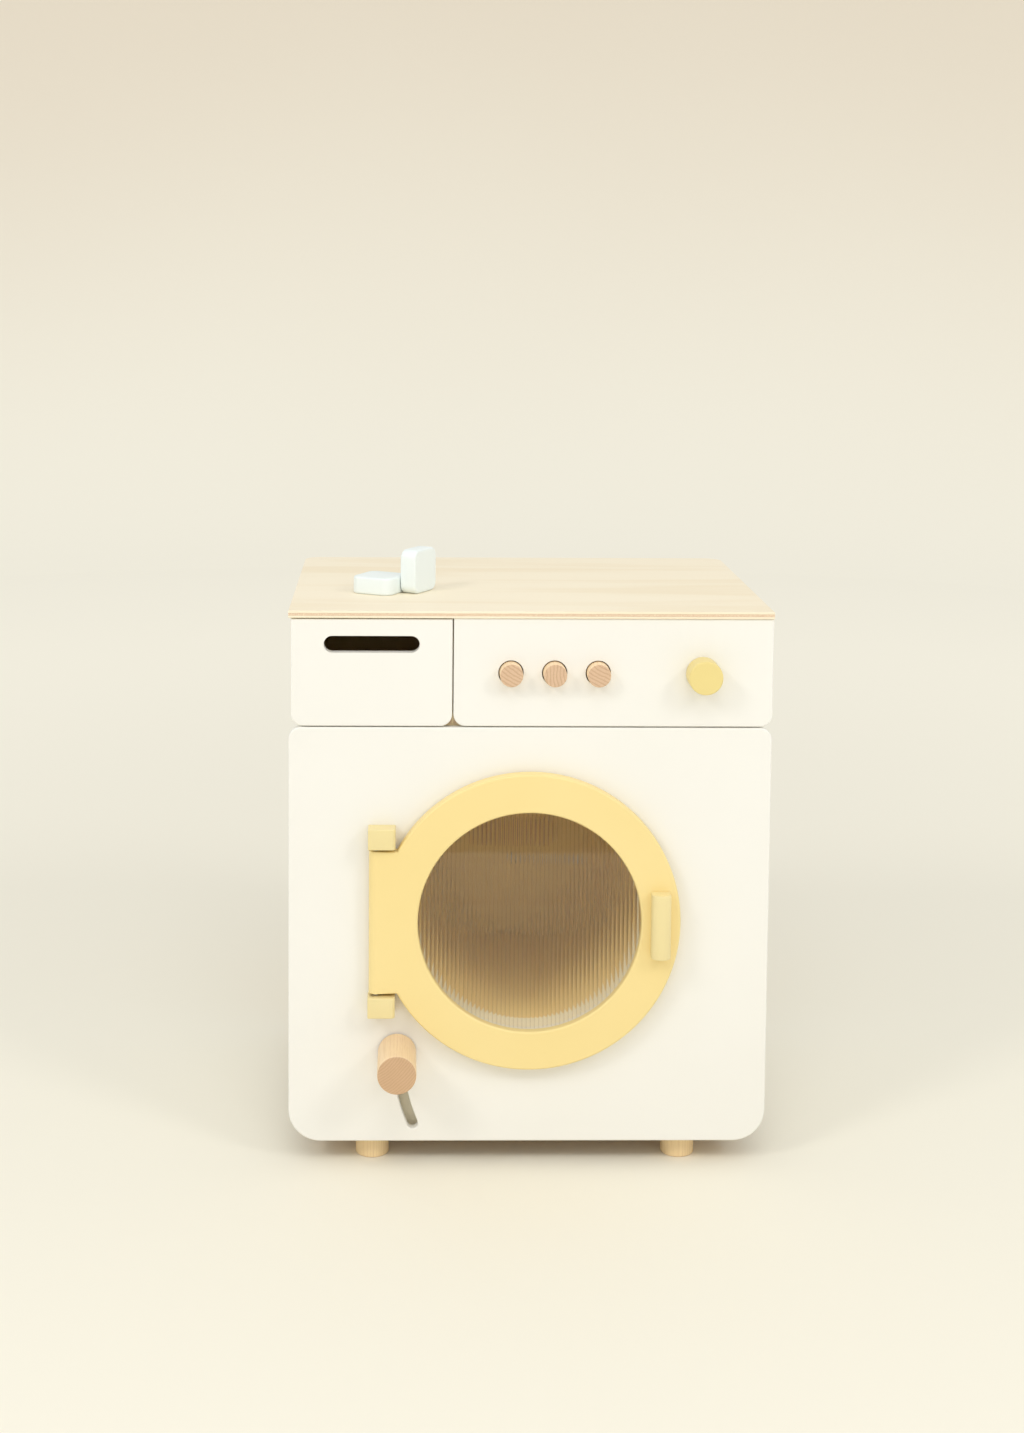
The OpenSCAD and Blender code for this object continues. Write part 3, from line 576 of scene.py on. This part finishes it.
def new_tree(name, inputs):
    """An empty geometry node tree with named inputs, and its input and output nodes."""
    tree = bpy.data.node_groups.new(name, "GeometryNodeTree")
    tree.interface.new_socket("Geometry", in_out="INPUT", socket_type="NodeSocketGeometry")
    tree.interface.new_socket("Geometry", in_out="OUTPUT", socket_type="NodeSocketGeometry")
    for label, kind in inputs.items():
        tree.interface.new_socket(label, in_out="INPUT", socket_type="NodeSocket" + kind)
    return tree, tree.nodes.new("NodeGroupInput").outputs, tree.nodes.new("NodeGroupOutput").inputs[0]


def end_tree(tree, geometry, material, output):
    """Every tree ends in Realize Instances and Set Material."""
    real = add(tree, "GeometryNodeRealizeInstances", {"Geometry": geometry}).outputs[0]
    done = add(tree, "GeometryNodeSetMaterial", {"Geometry": real, "Material": material}).outputs[0]
    tree.links.new(done, output)


def grown(tree, values, mesh=None):
    """Runs a tree with these input values and returns the plain mesh."""
    holder = into_scene("grown", mesh or bpy.data.meshes.new("grown"))
    modifier = holder.modifiers.new("shape", "NODES")
    modifier.node_group = tree
    for item in tree.interface.items_tree:
        if item.in_out == "INPUT" and item.name in values:
            modifier[item.identifier] = values[item.name]
    return evaluated(holder)


def rib_tree():
    """A round pane, flat in front, with upright convex ribs on its back."""
    tree, given, output = new_tree("ribbed_pane", {
        "Radius": "Float", "Thickness": "Float", "Rib Pitch": "Float", "Rib Depth": "Float",
        "Columns": "Int", "Centre": "Vector", "Material": "Material"})
    almost_two = 1.9998     # keeps the two outermost columns from closing to a line
    width = calc(tree, "MULTIPLY", given["Radius"], almost_two)
    size = add(tree, "ShaderNodeCombineXYZ", {0: width, 1: 1.0, 2: 1.0}).outputs[0]
    block = add(tree, "GeometryNodeMeshCube", {"Size": size, "Vertices X": given["Columns"],
                                               "Vertices Y": 2, "Vertices Z": 2}).outputs[0]
    place = add(tree, "ShaderNodeSeparateXYZ", {0: add(tree, "GeometryNodeInputPosition").outputs[0]})
    across, deep, up = place.outputs
    squares = [calc(tree, "MULTIPLY", value, value) for value in (given["Radius"], across)]
    chord = calc(tree, "SQRT", calc(tree, "SUBTRACT", *squares))
    height = calc(tree, "MULTIPLY", chord, calc(tree, "MULTIPLY", up, 2.0))
    turn = calc(tree, "MULTIPLY", calc(tree, "DIVIDE", across, given["Rib Pitch"]), math.pi)
    swell = calc(tree, "SUBTRACT", calc(tree, "ABSOLUTE", calc(tree, "COSINE", turn)), 1.0)
    back = calc(tree, "MULTIPLY_ADD", swell, given["Rib Depth"], given["Thickness"])
    depth = calc(tree, "MULTIPLY", back, calc(tree, "GREATER_THAN", deep, 0.0))
    shaped = add(tree, "ShaderNodeCombineXYZ", {0: across, 1: depth, 2: height}).outputs[0]
    moved = add(tree, "ShaderNodeVectorMath", {0: shaped, 1: given["Centre"]}, operation="ADD").outputs[0]
    pane = add(tree, "GeometryNodeSetPosition", {"Geometry": block, "Position": moved}).outputs[0]
    end_tree(tree, pane, given["Material"], output)
    return tree


def screw_tree():
    """Countersunk cross-head screws, one at each point, their heads along the point's heading."""
    tree, given, output = new_tree("countersunk_screws", {
        "Head Radius": "Float", "Shank Radius": "Float", "Length": "Float", "Material": "Material"})
    head, shank = given["Head Radius"], given["Shank Radius"]
    rise = calc(tree, "SUBTRACT", head, shank)
    taper = add(tree, "GeometryNodeMeshCone", {"Vertices": 32, "Radius Top": head, "Radius Bottom": shank,
                                               "Depth": rise}).outputs[0]
    down = calc(tree, "MULTIPLY", rise, -1.0)
    taper = move(tree, taper, down)
    rod_length = calc(tree, "SUBTRACT", given["Length"], rise)
    rod_radius = calc(tree, "MULTIPLY", shank, 0.97)
    rod = add(tree, "GeometryNodeMeshCylinder", {"Vertices": 16, "Radius": rod_radius,
                                                 "Depth": rod_length}).outputs[0]
    rod = move(tree, rod, calc(tree, "SUBTRACT", down, calc(tree, "MULTIPLY", rod_length, 0.5)))
    arm, slim = calc(tree, "MULTIPLY", head, 1.15), calc(tree, "MULTIPLY", head, 0.24)
    bars = []
    for wide, narrow in ((arm, slim), (slim, arm)):
        size = add(tree, "ShaderNodeCombineXYZ", {0: wide, 1: narrow, 2: calc(tree, "MULTIPLY", head, 0.7)})
        bars.append(add(tree, "GeometryNodeMeshCube", {"Size": size.outputs[0]}).outputs[0])
    cut = add(tree, "GeometryNodeMeshBoolean", {"Mesh 1": taper}, operation="DIFFERENCE", solver="MANIFOLD")
    for bar in bars:
        tree.links.new(bar, cut.inputs["Mesh 2"])
    screw = add(tree, "GeometryNodeJoinGeometry")
    for part in (rod, cut.outputs[0]):
        tree.links.new(part, screw.inputs[0])
    heading = add(tree, "GeometryNodeInputNamedAttribute", {"Name": "heading"},
                  data_type="FLOAT_VECTOR").outputs[0]
    turned = add(tree, "FunctionNodeAlignRotationToVector", {"Vector": heading}, axis="Z").outputs[0]
    placed = add(tree, "GeometryNodeInstanceOnPoints", {"Points": given["Geometry"],
                                                        "Instance": screw.outputs[0], "Rotation": turned})
    end_tree(tree, placed.outputs[0], given["Material"], output)
    return tree


def move(tree, geometry, up):
    shift = add(tree, "ShaderNodeCombineXYZ", {2: up}).outputs[0]
    return add(tree, "GeometryNodeTransform", {"Geometry": geometry, "Translation": shift}).outputs[0]


def spring_tree():
    """A round-wire coil along Y, from its fixed place towards +Y."""
    tree, given, output = new_tree("coil_spring", {
        "Coil Radius": "Float", "Wire Radius": "Float", "Length": "Float", "Turns": "Float",
        "Start": "Vector", "Material": "Material"})
    coil = add(tree, "GeometryNodeCurveSpiral", {"Resolution": 28, "Rotations": given["Turns"],
                                                 "Start Radius": given["Coil Radius"],
                                                 "End Radius": given["Coil Radius"],
                                                 "Height": given["Length"]}).outputs[0]
    wire = add(tree, "GeometryNodeCurvePrimitiveCircle", {"Resolution": 10, "Radius": given["Wire Radius"]})
    body = add(tree, "GeometryNodeCurveToMesh", {"Curve": coil, "Profile Curve": wire.outputs[0],
                                                 "Fill Caps": True}).outputs[0]
    laid = add(tree, "GeometryNodeTransform", {"Geometry": body, "Translation": given["Start"],
                                               "Rotation": (-QUARTER, 0.0, 0.0)}).outputs[0]
    end_tree(tree, laid, given["Material"], output)
    return tree


# ---- Painted and plywood boards ----

DOOR_CENTRE = centre_of("door_pane")
WINDOW_R = 92.5 * MM
NEAR = 0.3 * MM        # how close a point lies to the rim that it belongs to
DOOR_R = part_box("door_panel")[1].x
DOOR_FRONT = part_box("door_panel")[0].y
HINGE = centre_of("hinge_pins")


def from_centre(p):
    return math.hypot(p[X] - DOOR_CENTRE.x, p[Z] - DOOR_CENTRE.z)


def door_rims(place, span):
    """The door's round rim and its window's front rim, but no bore and no screw hole."""
    reach = from_centre(place)
    outer = reach > DOOR_R - NEAR and place[X] > HINGE.x + 1.0 * MM
    return outer or (abs(reach - WINDOW_R) < NEAR and place[Y] < DOOR_FRONT + 0.1 * MM)


def outline(place, span):
    """A board's own outline: the holes in it are smaller."""
    return span > 120 * MM


def all_but_bores(place, span):
    return span > 20 * MM


def window_rim(place, span):
    return 100 * MM < span < 200 * MM


def build_boards():
    rounded_board("top_board", Z, 0.6 * MM, plywood("top_board", Z, X, 3, PALE_BIRCH, 0.7))
    for node in ("side_panel_left", "side_panel_right"):
        rounded_board(node, X, 0.8 * MM, CREAM, outline)
    rounded_board("back_panel", Y, 0.5 * MM, plywood("back_panel", Y, Z, 3), outline)
    rounded_board("control_panel", Y, 1.2 * MM, CREAM, outline)
    rounded_board("drawer_front", Y, 1.2 * MM, CREAM, outline)
    rounded_board("front_panel", Y, 1.4 * MM, CREAM, all_but_bores)
    rounded_board("door_panel", Y, 1.9 * MM, YELLOW, door_rims)
    rounded_board("pane_ring", Y, 0.4 * MM, CREAM, window_rim)
    rounded_board("drum_shell", Y, 1.0 * MM, bent_plywood("drum_shell", 3.5 * MM, 3, WARM_BIRCH, 0.7))
    for node in ("hinge_block_upper", "hinge_block_lower"):
        softened(node, 0.7 * MM, PALE_YELLOW)
    softened("door_handle", 0.9 * MM, PALE_YELLOW)
    for node, thickness, grain in (("drawer_side_left", X, Y), ("drawer_side_right", X, Y),
                                   ("drawer_back", Y, X)):
        softened(node, 0.5 * MM, plywood(node, thickness, grain))
    kept = {"shelf": (Z, X), "compartment_divider": (X, Y), "front_spacers": (Y, X), "button_rail": (Y, X),
            "bearing_post": (Y, Z), "drawer_bottom": (Z, Y), "crank_arm": (Y, Z), "lever_arm": (Y, X)}
    for node, (thickness, grain) in kept.items():
        coat(node, plywood(node, thickness, grain))
    # painted shade: the bottom panel's dark tone deepens the shade beneath the machine
    coat("bottom_panel", plywood("bottom_panel", Z, X, 5, UNDERSIDE_SHADE_BIRCH))
    coat("drum_back", plywood("drum_back", Y, X, 5, WARM_BIRCH, 0.8))
    for node in ("mouth_ring", "inner_front_board"):
        coat(node, WARM_CREAM)


def coat(node, material):
    """Gives a kept node its finish."""
    for holder in frame["nodes"][node].material_slots:
        holder.material = material


# ---- Turned pieces ----

def button_beech(number, angle):
    """Beech whose growth rings cross the button's end as stripes, square to the given angle."""
    middle = centre_of("button_%d" % number)
    away, turn = 60 * MM, math.radians(angle)
    pith = (middle.x + away * math.cos(turn), 0.0, middle.z + away * math.sin(turn))
    return beech("beech_button_%d" % number, Y, pith, end=(0.74, 0.520, 0.345, 1.0), ring=2.9 * MM,
                 deep=1.0)


def build_turned():
    dowel("lever_knob", BEECH["lever"], Y, 1.0 * MM, 0.6 * MM)
    dowel("dial_knob", DEEP_YELLOW, Y, 1.3 * MM, 0.6 * MM)
    for number, angle in zip(BUTTONS, (58.0, 4.0, 60.0)):
        dowel("button_%d" % number, button_beech(number, angle), Y, 0.7 * MM, 0.4 * MM)
        coat("button_%d_collar" % number, BEECH["inner"])
    build_feet()
    for node in ("dial_retainer", "rocker_shaft", "axle_cap", "drum_hub"):
        coat(node, BEECH["inner"])
    coat("drawer_runners", beech("beech_runners", Y, (0.1, 0.0, 0.6)))
    for node in ("hinge_pins", "drum_axle", "dial_spindle", "lever_shank", "crank_peg"):
        coat(node, STEEL)
    for node in ("catch_magnet", "door_magnet"):
        coat(node, MAGNET)


def build_feet():
    """Four dowel feet in one mesh, each with its grain upright."""
    low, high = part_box("feet")
    radius, top_round, floor_round, steps = 14.0 * MM, 0.3 * MM, 1.0 * MM, 64
    profile = dowel_profile(radius, low.z, high.z, floor_round, top_round)
    bm = bmesh.new()
    for x in (low.x + radius, high.x - radius):
        for y in (low.y + radius, high.y - radius):
            bm.from_mesh(lathe(profile, (x, y, 0.0), Z, steps))
    mesh = bpy.data.meshes.new("feet")
    bm.to_mesh(mesh)
    bm.free()
    dress("turned_feet", mesh, ["feet"], BEECH["feet"])


# ---- Window pane, screws and springs ----

def build_pane():
    low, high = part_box("door_pane")
    depth, columns = 0.32 * MM, 561        # about ten columns to a rib
    mesh = grown(rib_tree(), {
        "Radius": (high.x - low.x) / 2, "Thickness": high.y - low.y, "Rib Pitch": RIB_PITCH,
        "Rib Depth": depth, "Columns": columns, "Centre": (DOOR_CENTRE.x, low.y, DOOR_CENTRE.z),
        "Material": CLEAR})
    dress("ribbed_pane", mesh, ["door_pane"], CLEAR, sharp=35.0)


def screw_places(node):
    """Where each screw of a node has its head, and which way the head faces."""
    bm = merged(node)
    left, places = set(bm.verts), []
    while left:
        island, edge = set(), {next(iter(left))}
        while edge:
            island |= edge
            edge = {e.other_vert(v) for v in edge for e in v.link_edges} - island
        left -= island
        corners = [v.co.copy() for v in island]
        low = Vector([min(c[i] for c in corners) for i in (X, Y, Z)])
        high = Vector([max(c[i] for c in corners) for i in (X, Y, Z)])
        axis = max((X, Y, Z), key=lambda i: high[i] - low[i])
        side = (axis + 1) % 3
        spread = {}
        for sign, end in ((-1, low[axis]), (1, high[axis])):
            across = [c[side] for c in corners if abs(c[axis] - end) < 1e-5]
            spread[sign] = max(across) - min(across)
        sign = max(spread, key=spread.get)
        head = (low + high) / 2
        head[axis] = low[axis] if sign < 0 else high[axis]
        heading = Vector((0.0, 0.0, 0.0))
        heading[axis] = sign
        places.append((head, heading, high[axis] - low[axis]))
    bm.free()
    return sorted(places, key=lambda place: tuple(round(value, 5) for value in place[0]))


WOOD_SCREW = (3.5 * MM, 1.8 * MM)      # radius of the head and of the shank
SMALL_SCREW = (2.2 * MM, 1.0 * MM)
SCREWS = {"carcass_screws": WOOD_SCREW, "back_screws": WOOD_SCREW, "foot_screws": WOOD_SCREW,
          "handle_screws": WOOD_SCREW, "pane_ring_screws": SMALL_SCREW}


def build_screws():
    tree = screw_tree()
    for node, (head, shank) in SCREWS.items():
        places = screw_places(node)
        points = bpy.data.meshes.new(node)
        points.from_pydata([place[0] for place in places], [], [])
        heading = points.attributes.new("heading", "FLOAT_VECTOR", "POINT")
        for index, place in enumerate(places):
            heading.data[index].vector = place[1]
        mesh = grown(tree, {"Head Radius": head, "Shank Radius": shank, "Length": places[0][2],
                            "Material": STEEL}, points)
        dress("made_" + node, mesh, [node], STEEL)


def build_springs():
    tree = spring_tree()
    wire, turns = 0.6 * MM, 5.0
    for number in BUTTONS:
        node = "button_%d_spring" % number
        low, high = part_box(node)
        middle = centre_of(node)
        start = (centre_of("button_%d" % number).x, low.y + wire, middle.z)
        mesh = grown(tree, {"Coil Radius": (high.x - low.x) / 2 - wire, "Wire Radius": wire,
                            "Length": high.y - low.y - 2 * wire, "Turns": turns, "Start": start,
                            "Material": SPRING_STEEL})
        spring = dress("coiled_" + node, mesh, [node], SPRING_STEEL)
        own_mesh(spring)


# ---- Tablets ----

def rounded_square(half, corner, steps=8):
    points = []
    for quarter, (sx, sy) in enumerate(((1, 1), (-1, 1), (-1, -1), (1, -1))):
        for step in range(steps + 1):
            turn = QUARTER * (quarter + step / steps)
            points.append((sx * (half - corner) + corner * math.cos(turn),
                           sy * (half - corner) + corner * math.sin(turn)))
    return points


def tablet_mesh(side, thickness, corner, edge, matrix, steps=5):
    """A pressed square tablet with round corners and softly rounded rims."""
    flat_ring = 0.8 * MM
    turns = [QUARTER * step / steps for step in range(steps + 1)]
    levels = [(edge + flat_ring, 0.0)]
    levels += [(edge * (1 - math.sin(turn)), edge * (1 - math.cos(turn))) for turn in turns]
    levels += [(inset, thickness - height) for inset, height in reversed(levels)]
    points, faces, count = [], [], 0
    for inset, height in levels:
        ring = rounded_square(side / 2 - inset, corner - inset)
        count = len(ring)
        points += [matrix @ Vector((x, y, height - thickness / 2)) for x, y in ring]
    for level in range(len(levels) - 1):
        for step in range(count):
            after = (step + 1) % count
            faces.append([level * count + step, level * count + after,
                          (level + 1) * count + after, (level + 1) * count + step])
    faces += [list(range(count)), list(range((len(levels) - 1) * count, len(levels) * count))]
    return outward(points, faces)


def build_tablets():
    side, thickness, corner, edge = 38.0 * MM, 15.0 * MM, 8.0 * MM, 2.0 * MM
    lying_turn, standing_turn, upright = (math.radians(angle) for angle in (-28, 60, 90))
    lying = Matrix.Translation(centre_of("tablet_lying")) @ Matrix.Rotation(lying_turn, 4, "Z")
    standing = (Matrix.Translation(centre_of("tablet_standing")) @ Matrix.Rotation(standing_turn, 4, "Z")
                @ Matrix.Rotation(upright, 4, "X"))
    for node, matrix in (("tablet_lying", lying), ("tablet_standing", standing)):
        dress("pressed_" + node, tablet_mesh(side, thickness, corner, edge, matrix), [node], MINT)


# ---- Studio ----

def studio_paper():
    """Pale paper, painted darker overhead as painted shade, with a painted glow (emission) that grows away
    from the middle.
    """
    material, tree, shader = new_material("studio_paper", 0.9)
    place = object_place(tree)
    height = add(tree, "ShaderNodeSeparateXYZ", {0: place}).outputs[Z]
    level = calc(tree, "MULTIPLY_ADD", noise(tree, place, 0.6, 1.0), 0.4, height)
    low_tone, overhead_painted_shade = (0.890, 0.850, 0.735, 1.0), (0.770, 0.690, 0.570, 1.0)
    # painted shade: the paper's colour darkens with height
    tone = mix(tree, band(tree, level, 0.1, 2.0), low_tone, overhead_painted_shade)
    away = add(tree, "ShaderNodeVectorMath", {0: place}, operation="LENGTH").outputs["Value"]
    # painted glow: emission that grows away from the middle
    glow = calc(tree, "MULTIPLY", band(tree, away, 0.2, 2.4), 0.17)
    tree.links.new(tone, shader.inputs["Base Color"])
    tree.links.new(tone, shader.inputs["Emission Color"])
    tree.links.new(glow, shader.inputs["Emission Strength"])
    shader.inputs["Specular IOR Level"].default_value = 0.2
    return material


def ring(radius, height, steps):
    turns = [2 * math.pi * step / steps for step in range(steps)]
    return [(radius * math.cos(turn), radius * math.sin(turn), height) for turn in turns]


def build_studio():
    """A pale floor that turns up into a pale wall all round, and a dark sheet that only glossy rays see,
    which paints shade into reflections.
    """
    reach, bend, top, steps, bend_steps = 3.2, 1.2, 4.0, 96, 12
    turns = [QUARTER * step / bend_steps for step in range(1, bend_steps + 1)]
    rows = [(reach, 0.0)]
    rows += [(reach + bend * math.sin(turn), bend * (1 - math.cos(turn))) for turn in turns]
    rows += [(reach + bend, top)]
    floor = bpy.data.meshes.new("studio_floor")
    floor.from_pydata([(0.0, 0.0, 0.0)] + ring(*rows[0], steps), [],
                      [(0, 1 + s, 1 + (s + 1) % steps) for s in range(steps)])
    wall = bpy.data.meshes.new("studio_wall")
    wall.from_pydata([point for row in rows for point in ring(*row, steps)], [],
                     [(level * steps + s, level * steps + (s + 1) % steps,
                       (level + 1) * steps + (s + 1) % steps, (level + 1) * steps + s)
                      for level in range(len(rows) - 1) for s in range(steps)])
    # painted shade in reflections: a dark sheet seen only by glossy rays
    mat = bpy.data.meshes.new("reflection_shade_mat")
    near, far, half, lift = -1.03, -3.1, 2.5, 0.001
    corners = [(-half, far, lift), (half, far, lift), (half, near, lift), (-half, near, lift)]
    mat.from_pydata(corners, [], [(0, 1, 2, 3)])
    paper = studio_paper()
    reflection_shade = painted("reflection_shade_sheet", (0.020, 0.018, 0.015, 1.0), (0.015, 0.014, 0.012, 1.0), 0.9)
    for mesh in (floor, wall, mat):
        mesh.materials.append(reflection_shade if mesh is mat else paper)
        mesh.shade_smooth()
        obj = into_scene(mesh.name, mesh)
        if mesh is not floor:
            obj.visible_shadow = obj.visible_diffuse = False
        if mesh is mat:
            obj.visible_camera = obj.visible_transmission = False


def softbox(name, place, target, size, power, colour=(1.0, 0.985, 0.955)):
    data = bpy.data.lights.new(name, "AREA")
    data.shape, data.size = "DISK", size
    data.energy, data.color = power, colour
    lamp = bpy.data.objects.new(name, data)
    lamp.visible_camera = False
    lamp.location = place
    lamp.rotation_euler = (Vector(target) - Vector(place)).to_track_quat("-Z", "Y").to_euler()
    bpy.context.scene.collection.objects.link(lamp)


def build_lights():
    middle = (0.0, -0.1, 0.25)
    softbox("softbox_left", (-1.9, -1.9, 2.2), middle, 0.8, 17.2)
    softbox("softbox_right", (1.9, -1.9, 2.1), middle, 0.8, 14.5)
    softbox("softbox_above", (0.0, -2.0, 2.6), middle, 1.6, 15.0)
    world = bpy.data.worlds.new("studio_world")
    bpy.context.scene.world = world
    world.use_nodes = True
    back = world.node_tree.nodes["Background"]
    back.inputs["Color"].default_value = (0.970, 0.980, 0.970, 1.0)
    back.inputs["Strength"].default_value = 0.76
    bpy.context.scene.view_settings.view_transform = "Standard"


build_boards()
build_turned()
build_pane()
build_screws()
build_springs()
build_tablets()
build_studio()
build_lights()
